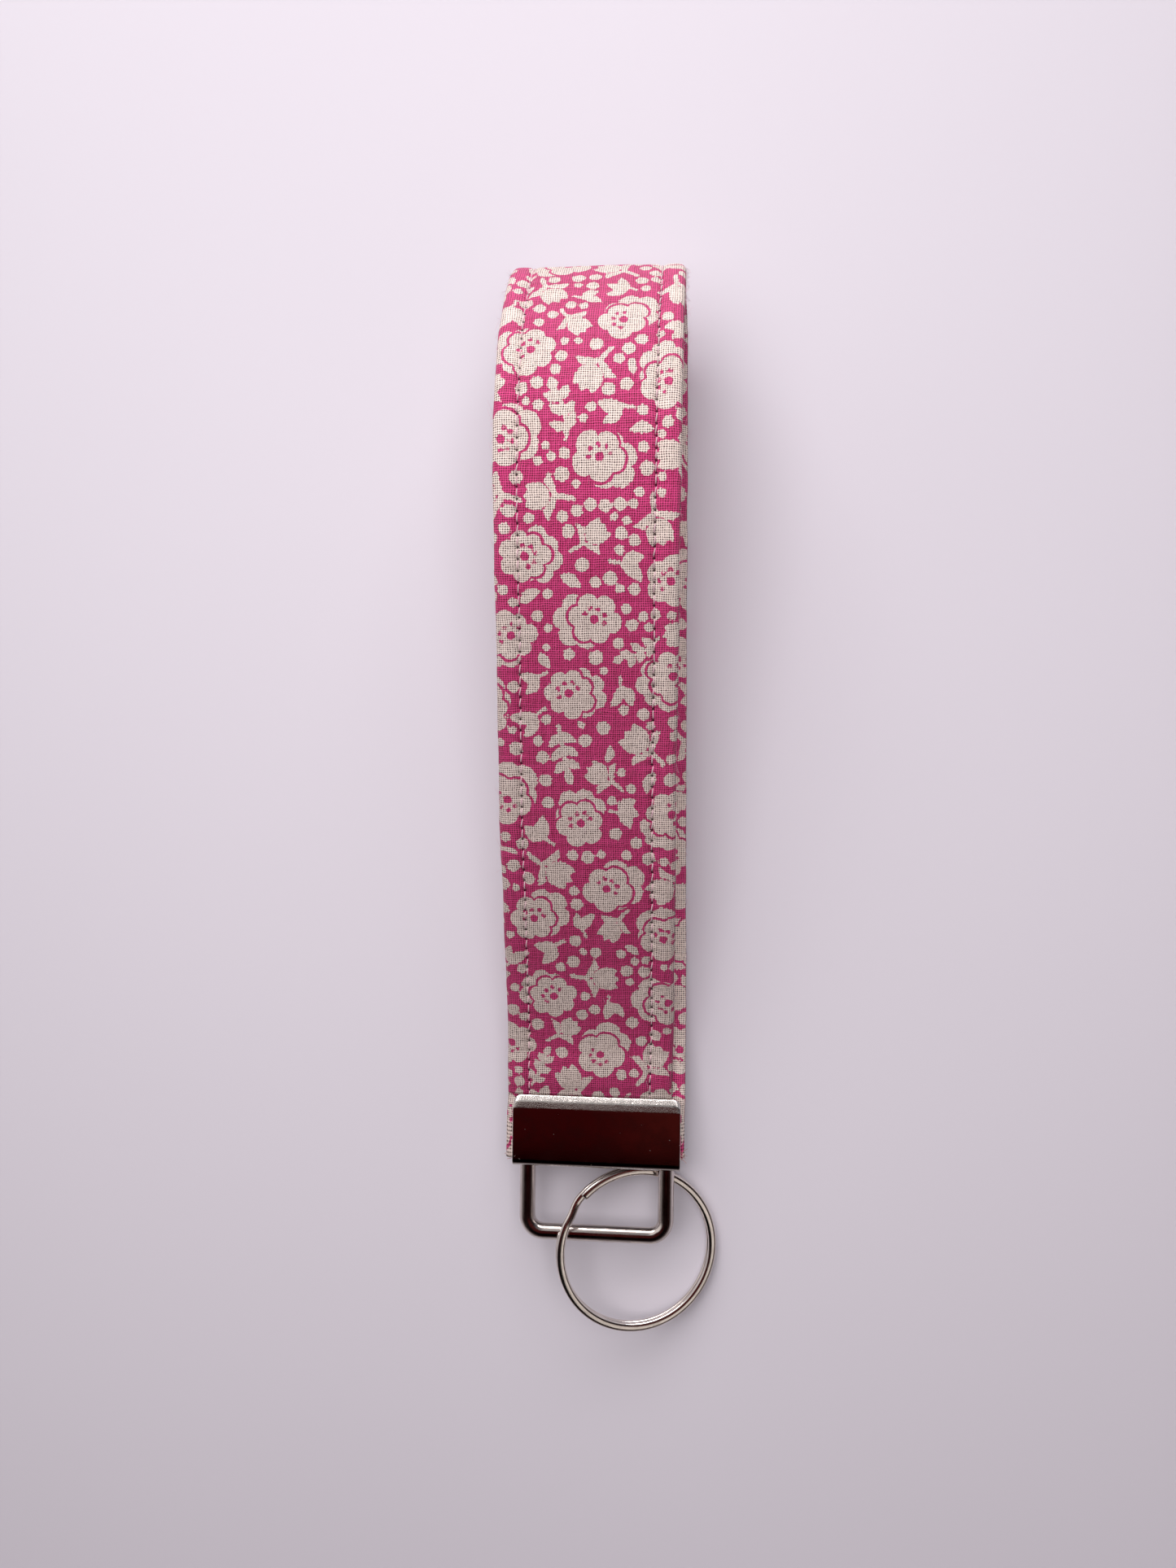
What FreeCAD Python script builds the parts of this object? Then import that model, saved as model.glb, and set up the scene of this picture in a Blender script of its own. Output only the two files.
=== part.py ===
"""Wristlet keychain: a padded fabric strap folded into a wrist loop, crimp clamp, wire loop, split ring.

Millimetres.  +Z is up, +Y runs along the strap from the metal end to the fold, X is across the strap.
The origin is the centre of the flat stretch on which the lower run of the strap lies.
"""
import FreeCAD, Part
import math
import os
from FreeCAD import Vector

# Strap: a folded cotton cover round a fleece core.
STRAP_WIDTH = 32.0
STRAP_HALF = 1.3          # half of the thickness of one layer
COVER_WALL = 0.45         # two folded plies of cotton
LAYER_GAP = 0.1           # between the two layers inside the clamp
CLAMPED_HALF = 1.05       # half thickness of a layer in the clamp
BITTEN_HALF = 0.5         # half thickness of a layer under the lips

# Topstitching, one row along each edge.
STITCH_INSET = 4.25       # from the edge of the strap to the row
THREAD_WIDTH = 0.45
THREAD_HEIGHT = 0.2
THREAD_SINK = 0.05        # how far a thread lies below the face of the cover
GROOVE_PLAY = 0.05        # between a thread and each side of its groove

# Crimp clamp, bent from sheet.
CLAMP_WIDTH = 32.4
CLAMP_THICKNESS = 6.2
SHEET = 0.9
SPINE_Y = -109.6          # outer face of the spine
LIP_Y = -95.9             # edge of the lips
LIP_BEND_Y = -98.4
LIP_DROP = 1.1
METAL_Z = 7.2             # middle plane of the clamp and the wire loop
LIP_CORNER = 1.5
SPINE_BEND = 1.0
LIP_BEND = 1.2
TEETH_PER_LIP = 15
TOOTH_HEIGHT = 0.3
TOOTH_LENGTH = 0.8
SLOT_WIDTH = 3.8
SLOT_HEIGHT = 4.6

# Wire loop.
WIRE = 3.1
LEG_X = 13.5
PIVOT_Y = -107.0
BAR_Y = -123.0
PIVOT_END_X = 8.0
PIVOT_BEND = 2.0
BAR_BEND = 3.2

# Split ring: two flat turns joined by one crank.
RING_RADIUS = 15.2        # to the middle of the coil
COIL_WIDTH = 1.6
COIL_THICKNESS = 1.07
COIL_GAP = 0.06
COIL_ROUNDING = 0.35
RING_CENTRE = Vector(7.9, -126.0, 5.87)
RING_TILT = -17.0         # about +Y, so that the -X side is raised
CRANK_AT = 155.0          # degrees round the ring from +X
CRANK_SPAN = 26.0
CRANK_CLEARANCE = 2.5     # degrees between the crank and each cut end
CRANK_STEPS = 6

# Middle line of the strap, from its upper end in the clamp, over the fold, to its lower end.
# Each point is y, z and the half thickness there.
CLAMPED_Z = CLAMPED_HALF + LAYER_GAP / 2
BITTEN_Z = BITTEN_HALF + LAYER_GAP / 2
STRAP_END_Y = -105.0
STRAP_ROUTE = [
    (STRAP_END_Y, METAL_Z + CLAMPED_Z, CLAMPED_HALF),
    (LIP_BEND_Y - 0.6, METAL_Z + CLAMPED_Z, CLAMPED_HALF),
    (LIP_Y - 0.2, METAL_Z + BITTEN_Z, BITTEN_HALF),
    (-92.3, 8.65, STRAP_HALF),
    (-83.4, 8.9, STRAP_HALF),
    (-50.4, 22.2, STRAP_HALF),
    (-15.2, 29.6, STRAP_HALF),
    (17.8, 38.7, STRAP_HALF),
    (36.0, 37.8, STRAP_HALF),
    (52.2, 28.2, STRAP_HALF),
    (60.8, 17.8, STRAP_HALF),
    (53.4, 4.6, STRAP_HALF),
    (38.6, STRAP_HALF, STRAP_HALF),
    (-44.6, STRAP_HALF, STRAP_HALF),
    (-71.0, 3.2, STRAP_HALF),
    (-92.3, 5.75, STRAP_HALF),
    (LIP_Y - 0.2, METAL_Z - BITTEN_Z, BITTEN_HALF),
    (LIP_BEND_Y - 0.6, METAL_Z - CLAMPED_Z, CLAMPED_HALF),
    (STRAP_END_Y, METAL_Z - CLAMPED_Z, CLAMPED_HALF),
]
BEND_SHARE = 0.45         # share of the shorter run that an arc may take


def yz(y, z, x=0.0):
    return Vector(x, y, z)


def turn_at(before, corner, after):
    """Signed turn of a route at a corner, in radians."""
    heading_in = math.atan2(corner.z - before.z, corner.y - before.y)
    heading_out = math.atan2(after.z - corner.z, after.y - corner.y)
    return math.remainder(heading_out - heading_in, 2 * math.pi)


def widest_bend(before, corner, after):
    """Radius of the largest arc that leaves its neighbours room."""
    half_turn = max(abs(turn_at(before, corner, after)) / 2, 1e-6)
    run = min((corner - before).Length, (after - corner).Length)
    return BEND_SHARE * run / math.tan(half_turn)


def offset_points(points, distances):
    """Move each corner of a route sideways, to the left of its direction, with mitred corners."""
    moved = []
    last = len(points) - 1
    for i, point in enumerate(points):
        normals = []
        for start, end in ((i - 1, i), (i, i + 1)):
            if start >= 0 and end <= last:
                run = (points[end] - points[start]).normalize()
                normals.append(yz(-run.z, run.y))
        middle = sum(normals, Vector()).normalize()
        moved.append(point + middle * (distances[i] / middle.dot(normals[0])))
    return moved


def rounded_edges(points, radii):
    """Straight runs joined by tangent arcs, through a list of corners in one YZ plane."""
    edges = []
    start = points[0]
    for i in range(1, len(points) - 1):
        before, corner, after = points[i - 1], points[i], points[i + 1]
        turn = turn_at(before, corner, after)
        if abs(turn) < 1e-4:
            continue
        reach = radii[i] * math.tan(abs(turn) / 2)
        arc_start = corner + (before - corner).normalize() * reach
        arc_end = corner + (after - corner).normalize() * reach
        inward = ((before - corner).normalize() + (after - corner).normalize()).normalize()
        centre = corner + inward * (radii[i] / math.cos(turn / 2))
        if (arc_start - start).Length > 1e-4:
            edges.append(Part.LineSegment(start, arc_start).toShape())
        edges.append(Part.Arc(arc_start, centre - inward * radii[i], arc_end).toShape())
        start = arc_end
    edges.append(Part.LineSegment(start, points[-1]).toShape())
    return edges


def side_line(points, radii, distances):
    """Edges and ends of a line that runs beside a route.

    Given radii belong to the route itself and are fitted to the offset.  With none given, each
    corner of the offset line gets the widest arc that it has room for.
    """
    moved = offset_points(points, distances)
    fitted = [0.0] * len(moved)
    for i in range(1, len(moved) - 1):
        if radii is None:
            fitted[i] = widest_bend(*moved[i - 1:i + 2])
        else:
            turn = turn_at(points[i - 1], points[i], points[i + 1])
            fitted[i] = radii[i] - math.copysign(distances[i], turn * distances[i])
    return rounded_edges(moved, fitted), moved[0], moved[-1]


def band(points, radii, left, right, x_low, x_high):
    """Solid between two lines beside a route, which are left and right of it by signed distances."""
    left_edges, left_start, left_end = side_line(points, radii, left)
    right_edges, right_start, right_end = side_line(points, radii, right)
    caps = [
        Part.LineSegment(left_start, right_start).toShape(),
        Part.LineSegment(left_end, right_end).toShape(),
    ]
    wire = Part.Wire(Part.__sortEdges__(left_edges + right_edges + caps))
    face = Part.Face(wire)
    face.translate(Vector(x_low, 0, 0))
    return face.extrude(Vector(x_high - x_low, 0, 0))


STRAP_POINTS = [yz(y, z) for y, z, half in STRAP_ROUTE]
STRAP_HALVES = [half for y, z, half in STRAP_ROUTE]


def strap_layer(depth_left, depth_right, x_low, x_high):
    """Part of the strap between two depths, each measured inwards from a face: left is the outside."""
    left = [half - depth_left for half in STRAP_HALVES]
    right = [depth_right - half for half in STRAP_HALVES]
    return band(STRAP_POINTS, None, left, right, x_low, x_high)


def face_strip(outside, depth_low, depth_high, x_middle, width):
    """Strip that follows one face of the strap, between two depths below it."""
    sign = 1 if outside else -1
    near = [sign * (half - depth_low) for half in STRAP_HALVES]
    far = [sign * (half - depth_high) for half in STRAP_HALVES]
    return band(STRAP_POINTS, None, near, far, x_middle - width / 2, x_middle + width / 2)


def strap_core():
    half_width = STRAP_WIDTH / 2 - COVER_WALL
    return strap_layer(COVER_WALL, COVER_WALL, -half_width, half_width)


def stitch_rows():
    offset = STRAP_WIDTH / 2 - STITCH_INSET
    return {"left": -offset, "right": offset}


def strap_cover(clamp):
    half_width = STRAP_WIDTH / 2
    body = strap_layer(0, 0, -half_width, half_width)
    body = body.cut(strap_core())
    groove_depth = THREAD_SINK + THREAD_HEIGHT
    groove_width = THREAD_WIDTH + 2 * GROOVE_PLAY
    for x_row in stitch_rows().values():
        for outside in (True, False):
            body = body.cut(face_strip(outside, -GROOVE_PLAY / 2, groove_depth, x_row, groove_width))
    return body.cut(clamp)


def topstitch_thread(x_row, outside):
    groove_depth = THREAD_SINK + THREAD_HEIGHT
    return face_strip(outside, THREAD_SINK, groove_depth, x_row, THREAD_WIDTH)


def clamp_tooth(x_middle, side):
    """Small wedge on the inner face of a lip; side is 1 on the upper lip and -1 on the lower."""
    lip_inner = CLAMP_THICKNESS / 2 - SHEET - LIP_DROP
    tip = METAL_Z + side * (lip_inner - TOOTH_HEIGHT)
    root = METAL_Z + side * (lip_inner + SHEET / 2)
    half_root = TOOTH_LENGTH / 2 + 0.1
    y_front = LIP_Y - TOOTH_LENGTH
    corners = [
        yz(y_front, root, x_middle - half_root),
        yz(y_front, root, x_middle + half_root),
        yz(y_front, tip, x_middle),
        yz(y_front, root, x_middle - half_root),
    ]
    return Part.Face(Part.makePolygon(corners)).extrude(yz(TOOTH_LENGTH, 0))


def crimp_clamp():
    middle = (CLAMP_THICKNESS - SHEET) / 2
    spine = SPINE_Y + SHEET / 2
    half_width = CLAMP_WIDTH / 2
    points = [
        yz(LIP_Y, METAL_Z + middle - LIP_DROP),
        yz(LIP_BEND_Y, METAL_Z + middle),
        yz(spine, METAL_Z + middle),
        yz(spine, METAL_Z - middle),
        yz(LIP_BEND_Y, METAL_Z - middle),
        yz(LIP_Y, METAL_Z - middle + LIP_DROP),
    ]
    radii = [0, LIP_BEND, SPINE_BEND, SPINE_BEND, LIP_BEND, 0]
    half = [SHEET / 2] * len(points)
    minus_half = [-SHEET / 2] * len(points)
    body = band(points, radii, half, minus_half, -half_width, half_width)
    tooth_pitch = (CLAMP_WIDTH - 2 * LIP_CORNER) / TEETH_PER_LIP
    for side in (1, -1):
        for i in range(TEETH_PER_LIP):
            x_middle = (i - (TEETH_PER_LIP - 1) / 2) * tooth_pitch
            body = body.fuse(clamp_tooth(x_middle, side))
    for side in (1, -1):
        corner = Part.makeBox(LIP_CORNER, LIP_CORNER, 2 * CLAMP_THICKNESS)
        corner = corner.cut(Part.makeCylinder(LIP_CORNER, 2 * CLAMP_THICKNESS))
        corner.translate(Vector(half_width - LIP_CORNER, LIP_Y - LIP_CORNER, METAL_Z - CLAMP_THICKNESS))
        if side < 0:
            corner = corner.mirror(Vector(), Vector(1, 0, 0))
        body = body.cut(corner)
    for side in (1, -1):
        slot = Part.makeBox(SLOT_WIDTH, 3 * SHEET, SLOT_HEIGHT)
        slot.translate(Vector(side * LEG_X - SLOT_WIDTH / 2, SPINE_Y - SHEET, METAL_Z - SLOT_HEIGHT / 2))
        body = body.cut(slot)
    return body.removeSplitter()


def wire_loop():
    """Round wire bent to a C, with its two ends turned inwards inside the spine of the clamp."""
    runs = [
        (-PIVOT_END_X, PIVOT_Y, 0),
        (-LEG_X, PIVOT_Y, PIVOT_BEND),
        (-LEG_X, BAR_Y, BAR_BEND),
        (LEG_X, BAR_Y, BAR_BEND),
        (LEG_X, PIVOT_Y, PIVOT_BEND),
        (PIVOT_END_X, PIVOT_Y, 0),
    ]
    # The route's helper works in a YZ plane, so the loop is drawn there and then turned down.
    points = [yz(x, y) for x, y, bend in runs]
    edges = rounded_edges(points, [bend for x, y, bend in runs])
    path = Part.Wire(edges)
    section = Part.Face(Part.Wire(Part.makeCircle(WIRE / 2, points[0], Vector(0, 1, 0))))
    body = path.makePipe(section)
    body.Placement = FreeCAD.Placement(FreeCAD.Matrix(0, 1, 0, 0, 0, 0, 1, 0, 1, 0, 0, METAL_Z))
    return body


def coil_section(angle, z_low):
    """Rounded rectangle in the plane that holds the ring's axis, at an angle round it."""
    r_low = RING_RADIUS - COIL_WIDTH / 2
    r_high = RING_RADIUS + COIL_WIDTH / 2
    z_high = z_low + COIL_THICKNESS
    cut = COIL_ROUNDING
    corners = []
    for r, z, dr, dz in (
        (r_low, z_low, 1, 1),
        (r_high, z_low, -1, 1),
        (r_high, z_high, -1, -1),
        (r_low, z_high, 1, -1),
    ):
        ends = [Vector(r, 0, z + dz * cut), Vector(r + dr * cut, 0, z)]
        if dr != dz:
            ends.reverse()
        middle = Vector(r + dr * cut, 0, z + dz * cut)
        middle = middle + Vector(-dr, 0, -dz).normalize() * cut
        corners.append((ends[0], middle, ends[1]))
    edges = []
    for i, (start, middle, end) in enumerate(corners):
        edges.append(Part.Arc(start, middle, end).toShape())
        edges.append(Part.LineSegment(end, corners[(i + 1) % 4][0]).toShape())
    wire = Part.Wire(edges)
    wire.rotate(Vector(), Vector(0, 0, 1), angle)
    return wire


def split_ring():
    """Lower turn, crank and upper turn, drawn flat about the origin and then tilted into place."""
    lower_z = -COIL_GAP / 2 - COIL_THICKNESS
    upper_z = COIL_GAP / 2
    half_crank = CRANK_SPAN / 2
    turn_span = 360 - CRANK_SPAN - CRANK_CLEARANCE
    lower = Part.Face(coil_section(CRANK_AT - half_crank, lower_z))
    lower = lower.revolve(Vector(), Vector(0, 0, 1), -turn_span)
    upper = Part.Face(coil_section(CRANK_AT + half_crank, upper_z))
    upper = upper.revolve(Vector(), Vector(0, 0, 1), turn_span)
    sections = []
    for i in range(CRANK_STEPS + 1):
        share = i / CRANK_STEPS
        rise = share * share * (3 - 2 * share)
        angle = CRANK_AT - half_crank + share * CRANK_SPAN
        sections.append(coil_section(angle, lower_z + rise * (upper_z - lower_z)))
    crank = Part.makeLoft(sections, True, False)
    ring = lower.fuse(crank).fuse(upper)
    ring.rotate(Vector(), Vector(0, 1, 0), -RING_TILT)
    ring.translate(RING_CENTRE)
    return ring


def save(shape, node):
    print(node, "solids", len(shape.Solids), "valid", shape.isValid(), "volume", round(shape.Volume, 2))
    shape.exportStep("parts/" + node + ".step")


def main():
    os.makedirs("parts", exist_ok=True)
    clamp = crimp_clamp()
    save(strap_cover(clamp), "strap_cover")
    save(strap_core().cut(clamp), "strap_core")
    for side, x_row in stitch_rows().items():
        save(topstitch_thread(x_row, True).cut(clamp), side + "_needle_thread")
        save(topstitch_thread(x_row, False).cut(clamp), side + "_bobbin_thread")
    save(clamp, "crimp_clamp")
    save(wire_loop(), "wire_loop")
    save(split_ring(), "split_ring")


main()
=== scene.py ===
"""Looks of a wristlet keychain: printed padded strap, crimp clamp, wire loop and split ring.

Sizes are millimetres in the row frame: +Z up, +Y from the metal end to the fold, X across.
Meshes are written out in metres, which is what MM does.
"""
import math

import bpy
import numpy as np
from mathutils import Matrix, Vector


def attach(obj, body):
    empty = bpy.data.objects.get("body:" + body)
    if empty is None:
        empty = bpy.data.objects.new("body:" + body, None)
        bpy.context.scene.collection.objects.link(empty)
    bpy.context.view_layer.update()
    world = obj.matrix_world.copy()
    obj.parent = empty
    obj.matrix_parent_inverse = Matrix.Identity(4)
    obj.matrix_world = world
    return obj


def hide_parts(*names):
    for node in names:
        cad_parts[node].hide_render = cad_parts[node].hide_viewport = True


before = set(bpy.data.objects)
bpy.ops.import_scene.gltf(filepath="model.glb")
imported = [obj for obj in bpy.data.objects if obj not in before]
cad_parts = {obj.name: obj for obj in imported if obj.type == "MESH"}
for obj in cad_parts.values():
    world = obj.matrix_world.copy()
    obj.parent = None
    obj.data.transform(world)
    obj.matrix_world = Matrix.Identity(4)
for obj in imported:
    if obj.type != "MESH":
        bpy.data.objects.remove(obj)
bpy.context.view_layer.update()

MM = 0.001

# ---------------------------------------------------------------- dimensions
STRAP_WIDTH = 32.0
STRAP_HALF = 1.3
STITCH_INSET = 4.25
STITCH_PITCH = 2.0
ROWS_PER_STITCH = 6
EDGE_ROUND = 1.25
GROOVE_DEPTH = 0.36
GROOVE_WIDTH = 0.6
HOLE_DEPTH = 0.26
THREAD_RADIUS = 0.115
CLAMPED_HALF = 1.05       # half thickness of a layer inside the clamp
BITTEN_HALF = 0.75        # and under the lips
MOUTH_Y = -92.3           # where the two layers come together
TAIL_Y = -101.0           # the raw corners of the strap start here
TAIL_REACH = 3.2
WEAVE_PITCH = 0.395       # from yarn to yarn
METAL_Z = 7.2
SPINE_Y = -109.6
LIP_Y = -95.9
LIP_BEND_Y = -98.4
CLAMP_HALF = 3.1
CLAMP_WIDTH = 32.4
SHEET = 0.9
LIP_DROP = 1.1
LEG_X = 13.5
PIVOT_Y = -107.0
BAR_Y = -123.0
WIRE_RADIUS = 1.55
RING_RADIUS = 15.2
RING_CENTRE = (7.9, -126.0, 5.87)
RING_TILT = 17.0

# Middle line of the strap: y, z and half thickness, from its upper end to its lower end.
STRAP_END_Y = -105.0
STRAP_ROUTE = [
    (STRAP_END_Y, 8.3, CLAMPED_HALF),
    (-99.0, 8.3, CLAMPED_HALF),
    (-96.1, 7.9, BITTEN_HALF),
    (MOUTH_Y, 8.65, STRAP_HALF),
    (-83.4, 8.9, STRAP_HALF),
    (-50.4, 22.2, STRAP_HALF),
    (-15.2, 29.6, STRAP_HALF),
    (17.8, 38.7, STRAP_HALF),
    (36.0, 37.8, STRAP_HALF),
    (52.2, 28.2, STRAP_HALF),
    (60.8, 17.8, STRAP_HALF),
    (53.4, 4.6, STRAP_HALF),
    (38.6, STRAP_HALF, STRAP_HALF),
    (-44.6, STRAP_HALF, STRAP_HALF),
    (-71.0, 3.2, STRAP_HALF),
    (MOUTH_Y, 5.75, STRAP_HALF),
    (-96.1, 6.5, BITTEN_HALF),
    (-99.0, 6.1, CLAMPED_HALF),
    (STRAP_END_Y, 6.1, CLAMPED_HALF),
]
# Sideways drift of the strap: its two ends sit a little askew in the clamp.
DRIFT_AT_START = -1.5
DRIFT_AT_FOLD = -0.37
DRIFT_AT_END = 1.1


# ---------------------------------------------------------------- mesh helpers
def new_mesh(name, points, faces, smooth=True):
    """Object from points in millimetres."""
    mesh = bpy.data.meshes.new(name)
    mesh.from_pydata((np.asarray(points, float) * MM).tolist(), [], faces)
    mesh.validate()
    mesh.polygons.foreach_set("use_smooth", [smooth] * len(mesh.polygons))
    obj = bpy.data.objects.new(name, mesh)
    bpy.context.scene.collection.objects.link(obj)
    return obj


def tube_faces(stations, sides, start=0):
    """Quads of a tube of rings, with an n-gon at each end."""
    i, j = np.meshgrid(np.arange(stations - 1), np.arange(sides), indexing="ij")
    after = (j + 1) % sides
    quads = np.stack(
        [i * sides + j, i * sides + after, (i + 1) * sides + after, (i + 1) * sides + j], axis=-1
    )
    first = (np.arange(sides)[::-1] + start).tolist()
    last = (np.arange(sides) + start + (stations - 1) * sides).tolist()
    return (quads.reshape(-1, 4) + start).tolist() + [first, last]


def smooth_curve(control, per_span):
    """Uniform quadratic B-spline with clamped ends, through rows of control values."""
    control = np.asarray(control, float)
    joints = (control[1:-2] + control[2:-1]) / 2
    starts = np.vstack([control[:1], joints])
    ends = np.vstack([joints, control[-1:]])
    t = np.linspace(0, 1, per_span, endpoint=False)[:, None]
    spans = []
    for start, middle, end in zip(starts, control[1:-1], ends):
        spans.append((1 - t) ** 2 * start + 2 * t * (1 - t) * middle + t * t * end)
    return np.vstack(spans + [control[-1:]])


def rounded_path(corners, arc_steps):
    """Points of a polyline with its corners rounded: corners are (a, b, radius)."""
    points = [np.array(corners[0][:2], float)]
    for before, corner, after in zip(corners, corners[1:], corners[2:]):
        here = np.array(corner[:2], float)
        back = np.array(before[:2], float) - here
        on = np.array(after[:2], float) - here
        back /= np.linalg.norm(back)
        on /= np.linalg.norm(on)
        half_turn = (math.pi - math.acos(np.clip(back @ on, -1, 1))) / 2
        reach = corner[2] * math.tan(half_turn)
        inward = (back + on) / np.linalg.norm(back + on)
        centre = here + inward * corner[2] / math.cos(half_turn)
        a = here + back * reach - centre
        b = here + on * reach - centre
        for step in range(arc_steps + 1):
            share = step / arc_steps
            spread = 2 * half_turn
            points.append(
                centre
                + (a * math.sin((1 - share) * spread) + b * math.sin(share * spread)) / math.sin(spread)
            )
    points.append(np.array(corners[-1][:2], float))
    return np.array(points)


# ---------------------------------------------------------------- the strap's shape
def strap_path():
    """Columns along the strap: arc length, y, z, half thickness, normal y, normal z."""
    fine = smooth_curve(STRAP_ROUTE, 80)
    step = np.hypot(np.diff(fine[:, 0]), np.diff(fine[:, 1]))
    s = np.concatenate([[0], np.cumsum(step)])
    spacing = STITCH_PITCH / ROWS_PER_STITCH
    stations = np.arange(0, s[-1], spacing)
    y, z, half = (np.interp(stations, s, fine[:, k]) for k in range(3))
    dy, dz = np.gradient(y), np.gradient(z)
    size = np.hypot(dy, dz)
    return {"s": stations, "y": y, "z": z, "half": half, "ny": -dz / size, "nz": dy / size}


PATH = strap_path()
STRAP_LENGTH = float(PATH["s"][-1])
FOLD_S = float(PATH["s"][np.argmax(PATH["y"])])


def wobble(s, seed, longest):
    """Smooth wandering value of about unit size along the strap, as a sum of five waves."""
    rng = np.random.default_rng(seed)
    total = 0
    for length in np.geomspace(longest, longest / 6, 5):
        wave = np.sin(2 * np.pi * s / length + rng.uniform(0, 2 * np.pi))
        total = total + wave * (length / longest) ** 0.6
    return total / 5 * 1.6


def section_half(s, u, half):
    """Half thickness of the strap at a distance u from its middle."""
    width = STRAP_WIDTH / 2
    reach = np.clip((np.abs(u) - (width - EDGE_ROUND)) / EDGE_ROUND, 0, 1)
    edge = np.sqrt(1 - reach ** 2)
    row = width - STITCH_INSET
    from_row = np.abs(u) - row
    groove = GROOVE_DEPTH * np.exp(-(from_row / GROOVE_WIDTH) ** 2)
    phase = (s / STITCH_PITCH + 0.5) % 1 - 0.5
    hole = HOLE_DEPTH * np.exp(-(phase * STITCH_PITCH / 0.38) ** 2 - (from_row / 0.42) ** 2)
    crown = 0.12 * np.clip(1 - (u / row) ** 2, 0, None)
    roll = 0.1 * np.exp(-((np.abs(u) - 14.0) / 1.1) ** 2)
    ripple = 0.05 * np.cos(2 * np.pi * s / STITCH_PITCH) * np.exp(-(from_row / 1.4) ** 2)
    slack = 0.05 * wobble(s + 3 * u, 11, 60) + 0.04 * wobble(s - 5 * u, 12, 21)
    return (half + crown + roll + slack) * edge - (groove + hole + ripple) * half / STRAP_HALF


def lip_limit(y):
    """How far above or below the clamp's middle plane cloth may stand, along the strap."""
    inside = CLAMP_HALF - SHEET - 0.05
    at_lip = inside - LIP_DROP
    sloped = np.interp(y, [LIP_BEND_Y, LIP_Y], [inside, at_lip])
    out = np.clip((y - LIP_Y) / 2.2, 0, 1)
    bulge = at_lip + 2.4 * np.sqrt(1 - (1 - out) ** 2)
    free = np.where(out >= 1, 1e3, bulge)
    return np.where(y > LIP_Y, free, sloped)


def place(s, u, w):
    """Points of the strap at arc length s, u across, and w out from its middle surface."""
    s, u, w = np.broadcast_arrays(s, u, w)
    y, z, ny, nz = (np.interp(s, PATH["s"], PATH[k]) for k in ("y", "z", "ny", "nz"))
    drift = np.interp(s, [0, FOLD_S, STRAP_LENGTH], [DRIFT_AT_START, DRIFT_AT_FOLD, DRIFT_AT_END])
    sway = 0.16 * wobble(s, 21, 90) + np.sign(u) * 0.1 * wobble(s, 22, 33) * np.abs(u) / 16
    roll = 0.012 * wobble(s, 23, 120)
    x = u + drift + sway
    y = y + ny * w
    z = z + nz * w + roll * u * np.clip((z - 3) / 12, 0, 1)
    upper = s < FOLD_S
    limit = lip_limit(y)
    height = z - METAL_Z
    near = y < MOUTH_Y
    layer_gap = 0.04
    height = np.where(near & upper, np.clip(height, layer_gap, limit), height)
    height = np.where(near & ~upper, np.clip(height, -limit, -layer_gap), height)
    z = METAL_Z + height
    z = np.maximum(z, 0.03)
    # The raw corners reach on towards the spine, beside the wire's ends.
    beside_wire = np.abs(x) > LEG_X + WIRE_RADIUS + 0.35
    tail = np.clip((TAIL_Y - y) / (TAIL_Y - STRAP_END_Y), 0, 1.2) * beside_wire
    y = y - TAIL_REACH * tail
    return np.stack([x, y, z], axis=-1)


def face_columns():
    """Distances across the strap, close together at the stitch rows and round the edges."""
    width = STRAP_WIDTH / 2
    row = width - STITCH_INSET
    middle = np.linspace(0, row - 0.75, 34)
    rows = np.linspace(row - 0.75, row + 0.75, 6)[1:]
    outer = np.linspace(row + 0.75, width - EDGE_ROUND, 5)[1:]
    edge = width - EDGE_ROUND + EDGE_ROUND * np.sin(np.linspace(0, np.pi / 2, 6))[1:]
    half = np.concatenate([middle, rows, outer, edge])
    return np.concatenate([-half[:0:-1], half])


EDGE_GIRTH = 2.2          # the cloth's way round one edge of the strap
PERIMETER = 2 * (STRAP_WIDTH + EDGE_GIRTH)


def across_fabric():
    """Distance round the section, from the right edge over the outside and back on the inside."""
    columns = face_columns()
    outside = STRAP_WIDTH / 2 - columns
    inside = STRAP_WIDTH + EDGE_GIRTH + (columns + STRAP_WIDTH / 2)
    return columns, outside, inside


# ---------------------------------------------------------------- the print
CELL = 0.25               # of the grid that the print is drawn on


def scallops(x, y, radius, lobes, phase, sizes):
    """Positive inside a round flower whose edge is a row of bulging petals."""
    angle = np.arctan2(y, x) - phase
    turn = angle / (2 * np.pi) * lobes
    petal = np.round(turn).astype(int) % lobes
    bulge = np.sqrt(np.clip(np.cos((turn - np.round(turn)) * np.pi), 0, 1))
    edge = radius * (0.74 + 0.26 * bulge) * sizes[petal]
    return edge - np.hypot(x, y)


def lens(x, y, length, width, bend=0.0):
    """Positive inside a leaf that runs from the origin along +y."""
    share = np.clip(y / length, 0, 1)
    middle = bend * length * share * (1 - share) * 2
    half = width / 2 * np.sin(np.pi * share ** 0.85) ** 0.8
    return np.minimum(half - np.abs(x - middle), np.minimum(y, length - y) + 0.02)


def turned(x, y, angle, at):
    """Coordinates seen from a motif that sits at a point and is turned by an angle."""
    x, y = x - at[0], y - at[1]
    c, s = math.cos(angle), math.sin(angle)
    return c * x + s * y, -s * x + c * y


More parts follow.
